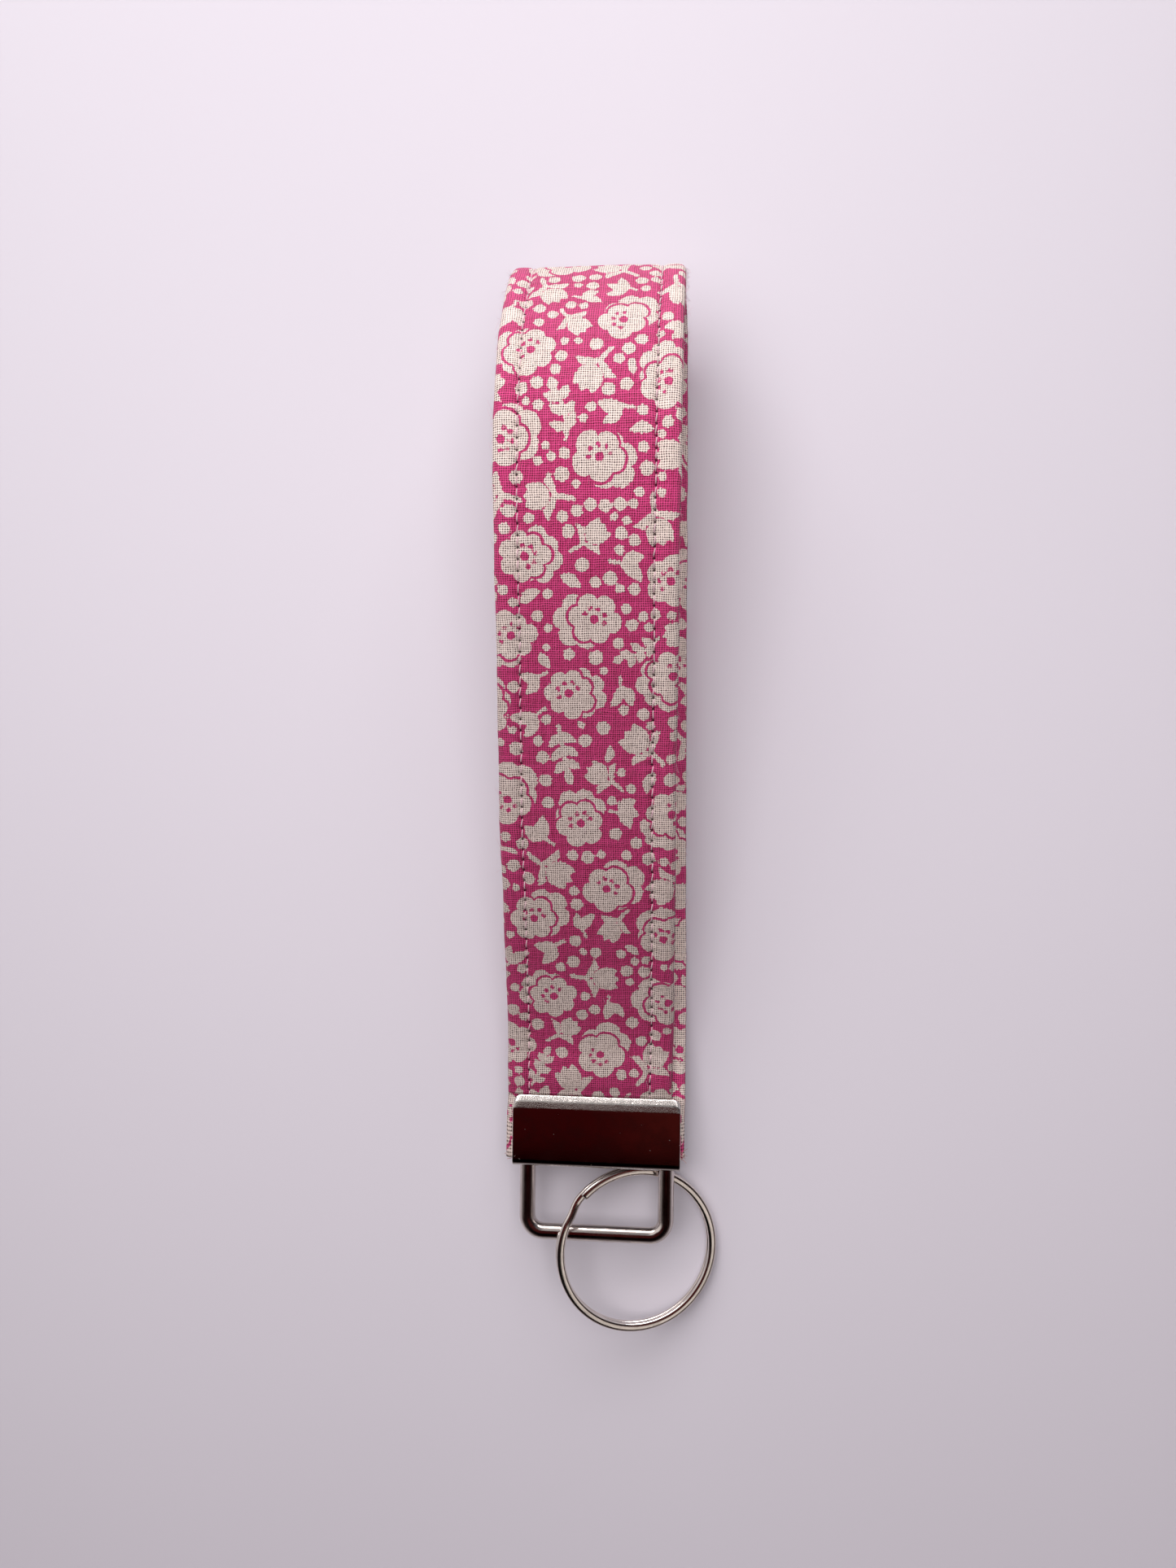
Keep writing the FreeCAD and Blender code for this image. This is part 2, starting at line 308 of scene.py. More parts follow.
def flower(x, y, rng):
    """A front flower with a dotted heart, over a second flower that shows on one side."""
    lobes = int(rng.integers(5, 8))
    sizes = rng.uniform(0.9, 1.08, lobes)
    radius = rng.uniform(4.5, 5.1)
    front = scallops(x, y, radius, lobes, rng.uniform(0, 6.28), sizes)
    side = rng.uniform(0, 6.28)
    shift = rng.uniform(2.0, 2.7)
    back = scallops(
        x - shift * math.cos(side), y - shift * math.sin(side), radius, lobes, rng.uniform(0, 6.28),
        sizes[::-1],
    )
    spots = [(0.0, 0.0, 0.8)]
    first = rng.uniform(0, 6.28)
    for k in range(5):
        angle = first + k * 0.74
        away = 1.85 + 0.15 * (k % 2)
        spots.append((away * math.cos(angle), away * math.sin(angle), 0.46))
    return np.maximum(front, back), front, spots


def bud(x, y, rng):
    """A cup of three pointed petals, on a calyx of two leaves."""
    cup = -9.0 * np.ones_like(x)
    tall = rng.uniform(4.2, 4.8)
    for lean in (-0.4, 0.0, 0.4):
        px, py = turned(x, y, lean, (0, -2.0))
        cup = np.maximum(cup, lens(px, py, tall, tall * 0.58))
    leaves = -9.0 * np.ones_like(x)
    for lean, bend in ((-1.25, -0.35), (1.25, 0.35)):
        px, py = turned(x, y, lean, (0, -3.1))
        leaves = np.maximum(leaves, lens(px, py, 4.0, 1.7, bend))
    stem = 0.4 - np.hypot(x - 0.05 * (y + 3) ** 2, np.clip(np.abs(y + 4.4) - 1.3, 0, None))
    gap = np.where(cup > -0.32, -0.32 + 0 * cup, 9.0)
    leaves = np.minimum(np.maximum(leaves, stem), gap)
    return np.maximum(cup, leaves), None, []


def sprig(x, y, rng):
    """A curved stem with pairs of small leaves."""
    lean = rng.uniform(-0.05, 0.05)
    shape = 0.36 - np.hypot(x - lean * y * y, np.clip(np.abs(y) - 4.2, 0, None))
    for k in range(3):
        at = -2.8 + 2.4 * k
        for side in (-1, 1):
            px, py = turned(x, y, -side * rng.uniform(0.75, 1.0), (lean * at * at, at))
            shape = np.maximum(shape, lens(px, py, rng.uniform(2.5, 3.1), 1.6))
    px, py = turned(x, y, 0.0, (lean * 16, 3.6))
    return np.maximum(shape, lens(px, py, 2.6, 1.7)), None, []


def leaf(x, y, rng):
    """Two or three broad leaves from one point, on a short stalk."""
    shape = 0.38 - np.hypot(x, np.clip(np.abs(y + 3.0) - 1.4, 0, None))
    leans = ((-0.95, 0.0), (0.0, 0.95), (-0.8, 0.0, 0.8), (-0.5, 0.5))[int(rng.integers(4))]
    for lean in leans:
        px, py = turned(x, y, lean, (0, -2.2))
        shape = np.maximum(shape, lens(px, py, rng.uniform(4.4, 6.0), rng.uniform(2.4, 3.1), 0.2))
    return shape, None, []


def petal(x, y, rng):
    """A single short leaf that fills the room between the larger motifs."""
    return lens(x, y + 1.9, 3.8, rng.uniform(1.7, 2.1), rng.uniform(-0.3, 0.3)), None, []


# Each motif with its reach, number of tries, gap to its neighbours, distance to its own kind, and scales.
PRINT_PLAN = (
    (flower, 9.0, 1500, 0.5, 13.0, (1.0,)),
    (bud, 7.5, 1800, 0.5, 9.0, (1.1, 0.9)),
    (sprig, 7.0, 1200, 0.5, 10.0, (1.05, 0.85)),
    (leaf, 6.5, 2500, 0.5, 6.0, (1.1, 0.9, 0.75)),
    (petal, 3.0, 500, 0.5, 5.0, (1.1, 0.85)),
)
DOT_TRIES = 26000
DOT_GAP = 0.55
DOT_RADIUS = (0.66, 1.25)


def print_fields():
    """Signed fields of the print on a grid over the unrolled cover, positive where it is cream."""
    rng = np.random.default_rng(7)
    shape_of = (int(PERIMETER / CELL) + 2, int(STRAP_LENGTH / CELL) + 2)
    cream = np.full(shape_of, -3.0)
    contour = np.full(shape_of, -3.0)
    spot = np.full(shape_of, 4.0)

    def around(centre, size):
        reach = int(size / CELL)
        i, j = (centre / CELL).astype(int)
        window = (slice(max(i - reach, 0), i + reach), slice(max(j - reach, 0), j + reach))
        gi, gj = np.indices(cream[window].shape)
        return window, (gi + window[0].start) * CELL, (gj + window[1].start) * CELL

    for motif, size, tries, gap, apart, scales in PRINT_PLAN:
        placed = np.full((1, 2), -99.0)
        for _ in range(tries):
            centre = rng.uniform((0, 0), (PERIMETER, STRAP_LENGTH))
            turn = rng.uniform(0, 2 * math.pi)
            seed = int(rng.integers(1 << 30))
            here = tuple((centre / CELL).astype(int))
            if cream[here] > -0.9 or np.min(np.hypot(*(placed - centre).T)) < apart:
                continue
            window, gx, gy = around(centre, size)
            x, y = turned(gx, gy, turn, centre)
            for scale in scales:
                field, front, spots = motif(x / scale, y / scale, np.random.default_rng(seed))
                field = field * scale
                if np.all(np.minimum(field, cream[window] + gap) <= 0):
                    break
            else:
                continue
            placed = np.vstack([placed, centre])
            if front is not None:
                contour[window] = np.where(field > -0.6, front, contour[window])
            for sx, sy, sr in spots:
                away = (x - sx) ** 2 + (y - sy) ** 2 - sr ** 2
                spot[window] = np.minimum(spot[window], away)
            cream[window] = np.maximum(cream[window], field)
    for _ in range(DOT_TRIES):
        centre = rng.uniform((0, 0), (PERIMETER, STRAP_LENGTH))
        largest = rng.uniform(0.85, 1.0) * DOT_RADIUS[1]
        free = -cream[tuple((centre / CELL).astype(int))] - DOT_GAP
        if free < DOT_RADIUS[0]:
            continue
        window, gx, gy = around(centre, 3.2)
        away = np.hypot(gx - centre[0], gy - centre[1])
        near = away[cream[window] > 0]
        radius = min(largest, near.min() - DOT_GAP) if near.size else largest
        if radius > DOT_RADIUS[0]:
            cream[window] = np.maximum(cream[window], radius - away)
    return {"print_cream": cream, "print_contour": contour, "print_spot": spot}


def sample_grid(field, a, b):
    """Value of a grid field between its cells."""
    a = np.clip(a / CELL, 0, field.shape[0] - 1.001)
    b = np.clip(b / CELL, 0, field.shape[1] - 1.001)
    i, j = a.astype(int), b.astype(int)
    fa, fb = a - i, b - j
    return (
        field[i, j] * (1 - fa) * (1 - fb) + field[i + 1, j] * fa * (1 - fb)
        + field[i, j + 1] * (1 - fa) * fb + field[i + 1, j + 1] * fa * fb
    )


# ---------------------------------------------------------------- materials
def material(name):
    """New material with its nodes, its links and its shader."""
    mat = bpy.data.materials.new(name)
    mat.use_nodes = True
    nodes = mat.node_tree.nodes
    links = mat.node_tree.links
    return mat, nodes, links, nodes["Principled BSDF"]


class Graph:
    """Short names for building a node tree."""

    def __init__(self, nodes, links):
        self.nodes, self.links = nodes, links

    def feed(self, socket, value):
        if hasattr(value, "is_output"):
            self.links.new(value, socket)
        else:
            socket.default_value = value

    def math(self, kind, a, b=None, c=None, clamp=False):
        node = self.nodes.new("ShaderNodeMath")
        node.operation = kind
        node.use_clamp = clamp
        for socket, value in zip(node.inputs, (a, b, c)):
            if value is not None:
                self.feed(socket, value)
        return node.outputs[0]

    def ramp(self, value, low, high, to_low=0.0, to_high=1.0):
        node = self.nodes.new("ShaderNodeMapRange")
        node.interpolation_type = "SMOOTHSTEP"
        for name, given in (("Value", value), ("From Min", low), ("From Max", high),
                            ("To Min", to_low), ("To Max", to_high)):
            self.feed(node.inputs[name], given)
        return node.outputs["Result"]

    def mix(self, share, a, b, kind="MIX"):
        node = self.nodes.new("ShaderNodeMix")
        node.data_type = "RGBA"
        node.blend_type = kind
        self.feed(node.inputs[0], share)
        self.feed(node.inputs[6], a)
        self.feed(node.inputs[7], b)
        return node.outputs[2]

    def noise(self, vector, scale, detail=2.0, rough=0.5):
        node = self.nodes.new("ShaderNodeTexNoise")
        node.inputs["Scale"].default_value = scale
        node.inputs["Detail"].default_value = detail
        node.inputs["Roughness"].default_value = rough
        self.links.new(vector, node.inputs["Vector"])
        return node.outputs["Fac"]

    def white(self, value):
        node = self.nodes.new("ShaderNodeTexWhiteNoise")
        node.noise_dimensions = "1D"
        self.links.new(value, node.inputs["W"])
        return node.outputs["Value"]

    def white_2d(self, a, b):
        pair = self.nodes.new("ShaderNodeCombineXYZ")
        self.links.new(a, pair.inputs[0])
        self.links.new(b, pair.inputs[1])
        node = self.nodes.new("ShaderNodeTexWhiteNoise")
        node.noise_dimensions = "2D"
        self.links.new(pair.outputs[0], node.inputs["Vector"])
        return node.outputs["Value"]

    def attribute(self, name):
        node = self.nodes.new("ShaderNodeAttribute")
        node.attribute_name = name
        return node.outputs["Fac"]

    def bump(self, height, strength, distance, normal=None):
        node = self.nodes.new("ShaderNodeBump")
        node.inputs["Strength"].default_value = strength
        node.inputs["Distance"].default_value = distance
        self.links.new(height, node.inputs["Height"])
        if normal is not None:
            self.links.new(normal, node.inputs["Normal"])
        return node.outputs["Normal"]

    def object_coords(self):
        return self.nodes.new("ShaderNodeTexCoord").outputs["Object"]

    def scaled(self, vector, x, y, z):
        node = self.nodes.new("ShaderNodeVectorMath")
        node.operation = "MULTIPLY"
        self.links.new(vector, node.inputs[0])
        node.inputs[1].default_value = (x, y, z)
        return node.outputs[0]


def weave_fields(g):
    """A plain weave from the cloth's own coordinates in millimetres.

    Gives the coordinates, their parts, the height, the pin holes, a random value for each
    crossing and the brightness of the yarns.
    """
    uv = g.nodes.new("ShaderNodeUVMap")
    uv.uv_map = "cloth"
    split = g.nodes.new("ShaderNodeSeparateXYZ")
    g.links.new(uv.outputs[0], split.inputs[0])
    drift_a = g.noise(uv.outputs[0], 0.35)
    drift_b = g.noise(uv.outputs[0], 0.23)
    a = g.math("DIVIDE", g.math("MULTIPLY_ADD", drift_a, 0.5, split.outputs[0]), WEAVE_PITCH)
    b = g.math("DIVIDE", g.math("MULTIPLY_ADD", drift_b, 0.5, split.outputs[1]), WEAVE_PITCH)
    sin_a = g.math("SINE", g.math("MULTIPLY", a, math.pi))
    sin_b = g.math("SINE", g.math("MULTIPLY", b, math.pi))
    body_a = g.math("POWER", g.math("ABSOLUTE", sin_a), 0.6)
    body_b = g.math("POWER", g.math("ABSOLUTE", sin_b), 0.6)
    sign_a = g.math("SIGN", sin_a)
    sign_b = g.math("SIGN", sin_b)
    over_a = g.math("MULTIPLY_ADD", g.math("MULTIPLY", sign_a, sin_b), 0.42, 0.58)
    over_b = g.math("MULTIPLY_ADD", g.math("MULTIPLY", sign_b, sin_a), -0.42, 0.58)
    warp = g.math("MULTIPLY", body_a, over_a)
    weft = g.math("MULTIPLY", body_b, over_b)
    height = g.math("MAXIMUM", warp, weft)
    spread = g.math("MULTIPLY_ADD", sin_a, sin_a, g.math("MULTIPLY", sin_b, sin_b))
    # Each pin hole, where two gaps between yarns cross, has a size of its own.
    gap_a = g.math("FLOOR", g.math("ADD", a, 0.5))
    gap_b = g.math("FLOOR", g.math("ADD", b, 0.5))
    wide = g.math("MULTIPLY_ADD", g.white_2d(gap_a, gap_b), 0.78, 0.36)
    hole = g.ramp(spread, g.math("MULTIPLY", wide, 0.3), wide, 1.0, 0.0)
    cell = g.white_2d(g.math("FLOOR", a), g.math("FLOOR", b))
    threads = g.math("ADD", g.white(g.math("FLOOR", a)), g.white(g.math("FLOOR", b)))
    slub = g.noise(g.scaled(uv.outputs[0], 2.6, 0.25, 1), 1.0, 2.0)
    slub = g.math("ADD", slub, g.noise(g.scaled(uv.outputs[0], 0.25, 2.6, 1), 1.0, 2.0))
    yarn = g.math("MULTIPLY_ADD", threads, 0.22, g.math("MULTIPLY_ADD", slub, 0.35, 0.13))
    return uv.outputs[0], split, height, hole, cell, yarn


# The LOW and HIGH colours are shaded and lit copies of pink and cream: painted shade in the weave's hollows,
# painted light on the yarn crowns.
PINK_LOW = (0.27, 0.007, 0.055, 1)
PINK_HIGH = (0.70, 0.064, 0.238, 1)
PINK_PALE = (0.66, 0.090, 0.230, 1)
PINK_HOLE_SHADE = (0.085, 0.003, 0.018, 1)
CREAM_LOW = (0.50, 0.41, 0.36, 1)
CREAM_HIGH = (0.90, 0.765, 0.69, 1)
CREAM_PALE = (0.74, 0.62, 0.56, 1)
CREAM_HOLE_SHADE = (0.050, 0.028, 0.028, 1)


def needle_holes(g, split):
    """One where a needle went through, at the ends of each stitch."""
    half_turn = PERIMETER / 2
    fold = g.math("MODULO", split.outputs[0], half_turn)
    from_middle = g.math("ABSOLUTE", g.math("SUBTRACT", fold, STRAP_WIDTH / 2))
    from_row = g.math("SUBTRACT", from_middle, STRAP_WIDTH / 2 - STITCH_INSET)
    phase = g.math("FRACT", g.math("MULTIPLY_ADD", split.outputs[1], 1 / STITCH_PITCH, 0.5))
    along = g.math("MULTIPLY", g.math("SUBTRACT", phase, 0.5), STITCH_PITCH)
    away = g.math("SQRT", g.math("MULTIPLY_ADD", from_row, from_row, g.math("MULTIPLY", along, along)))
    return g.ramp(away, 0.13, 0.33, 1.0, 0.0)


def printed_cotton():
    """Pink plain-weave cotton with a cream print, from the fields that the strap's mesh carries."""
    mat, nodes, links, shader = material("printed_cotton")
    g = Graph(nodes, links)
    uv, split, height, hole, cell, yarn = weave_fields(g)
    rag = g.math("MULTIPLY_ADD", g.noise(uv, 2.6, 2.0), 0.2, -0.1)
    rag = g.math("ADD", rag, g.math("MULTIPLY_ADD", cell, 0.24, -0.12))
    cream = g.ramp(g.math("ADD", g.attribute("print_cream"), rag), -0.08, 0.06)
    contour = g.math("ABSOLUTE", g.math("MULTIPLY_ADD", rag, 0.6, g.attribute("print_contour")))
    clear_of_line = g.ramp(contour, 0.2, 0.32)
    clear_of_spot = g.ramp(g.math("ADD", g.attribute("print_spot"), rag), -0.08, 0.1)
    cream = g.math("MULTIPLY", cream, g.math("MULTIPLY", clear_of_line, clear_of_spot))
    fade = g.noise(uv, 0.12, 3.0)
    # Painted light and shade on the weave, mixed with each yarn's own uneven tone.
    lit = g.ramp(g.math("MULTIPLY_ADD", yarn, 0.7, height), 0.75, 1.55)
    pink = g.mix(lit, PINK_LOW, PINK_HIGH)
    pink = g.mix(g.math("MULTIPLY", cell, 0.3), pink, PINK_PALE)
    pale = g.mix(lit, CREAM_LOW, CREAM_HIGH)
    pale = g.mix(g.math("MULTIPLY", cell, 0.25), pale, CREAM_PALE)
    colour = g.mix(cream, pink, pale)
    # Painted shade in the pin holes between the yarns, deeper in some holes than in others.
    dark = g.mix(cream, PINK_HOLE_SHADE, CREAM_HOLE_SHADE)
    deep = g.math("MULTIPLY_ADD", g.noise(uv, 1.6, 1.0), -0.5, 1.2, clamp=True)
    colour = g.mix(g.math("MULTIPLY", hole, deep), colour, dark)
    needle_hole_shade = needle_holes(g, split)
    # Painted shade in the needle holes at the ends of each stitch.
    colour = g.mix(g.math("MULTIPLY", needle_hole_shade, 0.9), colour, (0.03, 0.006, 0.012, 1))
    # Painted shade: the upper run is darkened over its half next to the clamp, so that it reads darker than
    # the fold.
    painted_shade = g.ramp(split.outputs[1], 80.0, 128.0, 0.4, 0.0)
    colour = g.mix(painted_shade, colour, (0.32, 0.28, 0.30, 1), "MULTIPLY")
    colour = g.mix(g.ramp(fade, 0.35, 0.75, 0.0, 0.14), colour, (0.9, 0.8, 0.75, 1), "MULTIPLY")
    links.new(colour, shader.inputs["Base Color"])
    lint = g.noise(uv, 9.0, 3.0, 0.6)
    rough = g.math("MULTIPLY_ADD", lint, 0.15, 0.78)
    links.new(rough, shader.inputs["Roughness"])
    surface = g.math("MULTIPLY_ADD", lint, 0.12, g.math("SUBTRACT", height, hole))
    links.new(g.bump(surface, 0.7, 0.0001), shader.inputs["Normal"])
    shader.inputs["Sheen Weight"].default_value = 0.1
    shader.inputs["Sheen Roughness"].default_value = 0.5
    shader.inputs["Specular IOR Level"].default_value = 0.25
    return mat


def sewing_thread(name, pale, deep):
    """Twisted yarn of two tones, also used for lint and frayed ends."""
    mat, nodes, links, shader = material(name)
    g = Graph(nodes, links)
    coords = g.object_coords()
    wave = nodes.new("ShaderNodeTexWave")
    wave.bands_direction = "DIAGONAL"
    wave.inputs["Scale"].default_value = 2600.0
    wave.inputs["Distortion"].default_value = 1.5
    links.new(coords, wave.inputs["Vector"])
    tint = g.noise(coords, 900.0, 2.0)
    share = g.math("MULTIPLY_ADD", wave.outputs["Fac"], 0.5, g.math("MULTIPLY", tint, 0.45))
    links.new(g.mix(share, deep, pale), shader.inputs["Base Color"])
    links.new(g.bump(wave.outputs["Fac"], 0.6, 0.00005), shader.inputs["Normal"])
    links.new(g.ramp(tint, 0.3, 0.7, 0.42, 0.6), shader.inputs["Roughness"])
    shader.inputs["Sheen Weight"].default_value = 0.2
    return mat


def nickel(name, base, rough_low, rough_high, scratch_axis, speckle=False):
    """Bright nickel plate with fine scratches and faint smudges."""
    mat, nodes, links, shader = material(name)
    g = Graph(nodes, links)
    coords = g.object_coords()
    smudge = g.noise(coords, 260.0, 3.0, 0.6)
    stretch = [1.0, 1.0, 1.0]
    stretch[scratch_axis] = 0.06
    scratch = g.noise(g.scaled(coords, *stretch), 9000.0, 2.0, 0.7)
    rough = g.ramp(g.math("MULTIPLY_ADD", scratch, 0.35, smudge), 0.4, 1.0, rough_low, rough_high)
    tone = g.mix(g.ramp(smudge, 0.35, 0.7), base, tuple(0.86 * c for c in base[:3]) + (1,))
    normal = g.bump(scratch, 0.05, 0.00002)
    if speckle:
        grain = g.noise(coords, 6500.0, 2.0, 0.6)
        coarse = g.noise(coords, 1500.0, 2.0, 0.5)
        mask = g.attribute("lip")
        pitted = g.math("MULTIPLY", g.math("MULTIPLY_ADD", coarse, 0.3, grain), mask)
        normal = g.bump(pitted, 0.6, 0.00004, normal)
        rough = g.math("MULTIPLY_ADD", mask, 0.08, rough)
        dust = g.ramp(g.noise(coords, 1900.0, 0.0), 0.86, 0.9)
        tone = g.mix(g.math("MULTIPLY", dust, 0.6), tone, (0.9, 0.85, 0.8, 1))
        rough = g.math("MULTIPLY_ADD", dust, 0.5, rough)
    links.new(tone, shader.inputs["Base Color"])
    links.new(rough, shader.inputs["Roughness"])
    links.new(normal, shader.inputs["Normal"])
    shader.inputs["Metallic"].default_value = 1.0
    return mat


# ---------------------------------------------------------------- the strap
def make_strap():
    """The whole padded strap as one closed tube that carries the print and the cloth's coordinates."""
    columns, outside, inside = across_fabric()
    s = PATH["s"]
    half = PATH["half"]
    sides = []
    for columns_here, sign in ((columns[::-1], 1), (columns[1:-1], -1)):
        grid_s, grid_u = np.meshgrid(s, columns_here, indexing="ij")
        grid_half = np.repeat(half[:, None], len(columns_here), axis=1)
        w = sign * section_half(grid_s, grid_u, grid_half)
        sides.append(place(grid_s, grid_u, w))
    points = np.concatenate(sides, axis=1)
    across = np.concatenate([outside[::-1], inside[1:-1]])
    stations, count = points.shape[:2]
    strap = new_mesh("printed_strap", points.reshape(-1, 3), tube_faces(stations, count))
    grid_across = np.repeat(across[None, :], stations, axis=0).ravel()
    grid_along = np.repeat(s[:, None], count, axis=1).ravel()
    for name, field in print_fields().items():
        values = sample_grid(field, grid_across, grid_along)
        attribute = strap.data.attributes.new(name, "FLOAT", "POINT")
        attribute.data.foreach_set("value", values.astype(np.float32))
    # The cloth's coordinates run on past the seam, so that no face spans the whole way round.
    layer = strap.data.uv_layers.new(name="cloth")
    index = np.zeros(len(strap.data.loops), np.int32)
    strap.data.loops.foreach_get("vertex_index", index)
    uv = np.stack([grid_across[index], grid_along[index]], axis=1)
    for face in strap.data.polygons:
        block = uv[face.loop_start:face.loop_start + face.loop_total, 0]
        if face.loop_total == 4 and block.max() - block.min() > PERIMETER / 2:
            block[block < PERIMETER / 2] += PERIMETER
    layer.data.foreach_set("uv", uv.ravel().astype(np.float32))
    strap.data.materials.append(printed_cotton())
    return strap


def make_stitches(name, side, sign, mat):
    """One row of stitches: side is -1 or 1 across the strap, sign is 1 outside the loop."""
    rng = np.random.default_rng(40 + 2 * side + sign)
    row = side * (STRAP_WIDTH / 2 - STITCH_INSET)
    rings, sides = 9, 8
    angle = np.linspace(0, 2 * np.pi, sides, endpoint=False)
    points, faces = [], []
    count = int((STRAP_LENGTH - 8) / STITCH_PITCH)
    for k in range(3, count):
        t = np.linspace(0, 1, rings)
        s = (k + 0.1 + 0.8 * t) * STITCH_PITCH
        slant = rng.normal(0, 0.05) + 0.1
        u = row + slant * (t - 0.5) * 2 + rng.normal(0, 0.03)
        half = np.interp(s, PATH["s"], PATH["half"])
        mid_half = section_half(np.full(rings, (k + 0.5) * STITCH_PITCH), np.full(rings, row), half)
        rise = THREAD_RADIUS * 0.75 - 0.42 * np.abs(2 * t - 1) ** 3
        centre = place(s, u, sign * (mid_half + rise))
        along = np.gradient(centre, axis=0)
        along /= np.linalg.norm(along, axis=1)[:, None]
        out = place(s, u, sign * (mid_half + rise + 0.2)) - centre
        across = np.cross(along, out)
        across /= np.maximum(np.linalg.norm(across, axis=1)[:, None], 1e-6)
        out = np.cross(across, along)
        taper = THREAD_RADIUS * (1 - 0.25 * np.abs(2 * t - 1) ** 4)
        ring = (
            centre[:, None, :]
            + across[:, None, :] * (np.cos(angle)[None, :] * taper[:, None])[..., None]
            + out[:, None, :] * (np.sin(angle)[None, :] * taper[:, None] * 0.85)[..., None]
        )
        faces += tube_faces(rings, sides, len(points) * rings * sides)
        points.append(ring.reshape(-1, 3))
    stitches = new_mesh(name, np.vstack(points), faces)
    stitches.data.materials.append(mat)
    return stitches


def hairs(name, lines, radii, mat, sides):
    """Many thin tubes as one piece: lines are rows of points, one radius for each."""
    points, faces = [], []
    total = 0
    angle = np.linspace(0, 2 * np.pi, sides, endpoint=False)
    for line, radius in zip(lines, radii):
        ahead = np.gradient(line, axis=0)
        ahead /= np.linalg.norm(ahead, axis=1)[:, None]
        aside = np.cross(ahead, (0.3, 0.5, 0.8))
        aside /= np.linalg.norm(aside, axis=1)[:, None]
        other = np.cross(ahead, aside)
        taper = radius * np.linspace(1, 0.55, len(line))[:, None, None]
        ring = line[:, None, :] + taper * (
            aside[:, None, :] * np.cos(angle)[None, :, None]
            + other[:, None, :] * np.sin(angle)[None, :, None]
        )
        points.append(ring.reshape(-1, 3))
        faces += tube_faces(len(line), sides, total)
        total += len(line) * sides
    piece = new_mesh(name, np.vstack(points), faces)
    piece.data.materials.append(mat)
    return piece


def make_fuzz(mat):
    """Loose cotton fibres that stand off the edges and the faces of the strap."""
    rng = np.random.default_rng(61)
    lines, radii = [], []
    for _ in range(900):
        s = rng.uniform(12, STRAP_LENGTH - 12) if rng.random() < 0.7 else rng.normal(FOLD_S, 18)
        edge = rng.random() < 0.75
        u = rng.choice((-1, 1)) * (15.9 if edge else rng.uniform(0, 15))
        sign = rng.choice((-1, 1))
        half = float(np.interp(s, PATH["s"], PATH["half"]))
        base = 0.0 if edge else float(section_half(s, u, half)) - 0.05
        length = rng.gamma(3.0, 0.3) + 0.3
        t = np.linspace(0, 1, 6)
        curl = rng.normal(0, 0.5, 2)
        along = s + length * (rng.normal(0, 0.7) * t + curl[0] * t * t)
        reach = length * (0.35 * t + 0.15 * rng.random() * t * t)
        if edge:
            line = place(along, u + np.sign(u) * reach, rng.normal(0, 0.4) + 0.4 * length * curl[1] * t * t)
        else:
            line = place(along, u + length * curl[1] * t, sign * (base + 0.5 * reach))
        lines.append(line)
        radii.append(rng.uniform(0.018, 0.03))
    return hairs("loose_fibres", lines, radii, mat, 3)


def make_fray(mat):
    """Short ends of yarn where the raw cloth leaves the clamp at its two lower corners."""
    rng = np.random.default_rng(62)
    lines, radii = [], []
    for side in (-1, 1):
        for _ in range(26):
            start = np.array([side * 15.9, -107.2, METAL_Z + rng.uniform(-1.6, 1.8)])
            start += rng.normal(0, (0.1, 0.5, 0.1))
            aim = np.array([side * rng.uniform(0.25, 1.0), rng.uniform(-1.0, 0.3), rng.normal(0, 0.3)])
            bend = rng.normal(0, 0.7, 3)
            length = rng.uniform(0.6, 1.25)
            t = np.linspace(0, 1, 7)[:, None]
            line = start + length * (aim * t + bend * t * t * 0.6)
            line[:, 0] = side * np.maximum(side * line[:, 0], 15.5)
            lines.append(line)
            radii.append(rng.uniform(0.06, 0.12))
    return hairs("frayed_ends", lines, radii, mat, 5)


# ---------------------------------------------------------------- the metal
def profile_normals(profile):
    """Outward normals of a closed outline that runs anticlockwise."""
    ahead = np.roll(profile, -1, axis=0) - np.roll(profile, 1, axis=0)
    ahead /= np.linalg.norm(ahead, axis=1)[:, None]
    return np.stack([ahead[:, 1], -ahead[:, 0]], axis=1)


def closed_rounded(corners, steps):
    """Closed outline with every corner rounded."""
    path = rounded_path([corners[-1]] + corners + [corners[0]], steps)
    return path[1:-1]


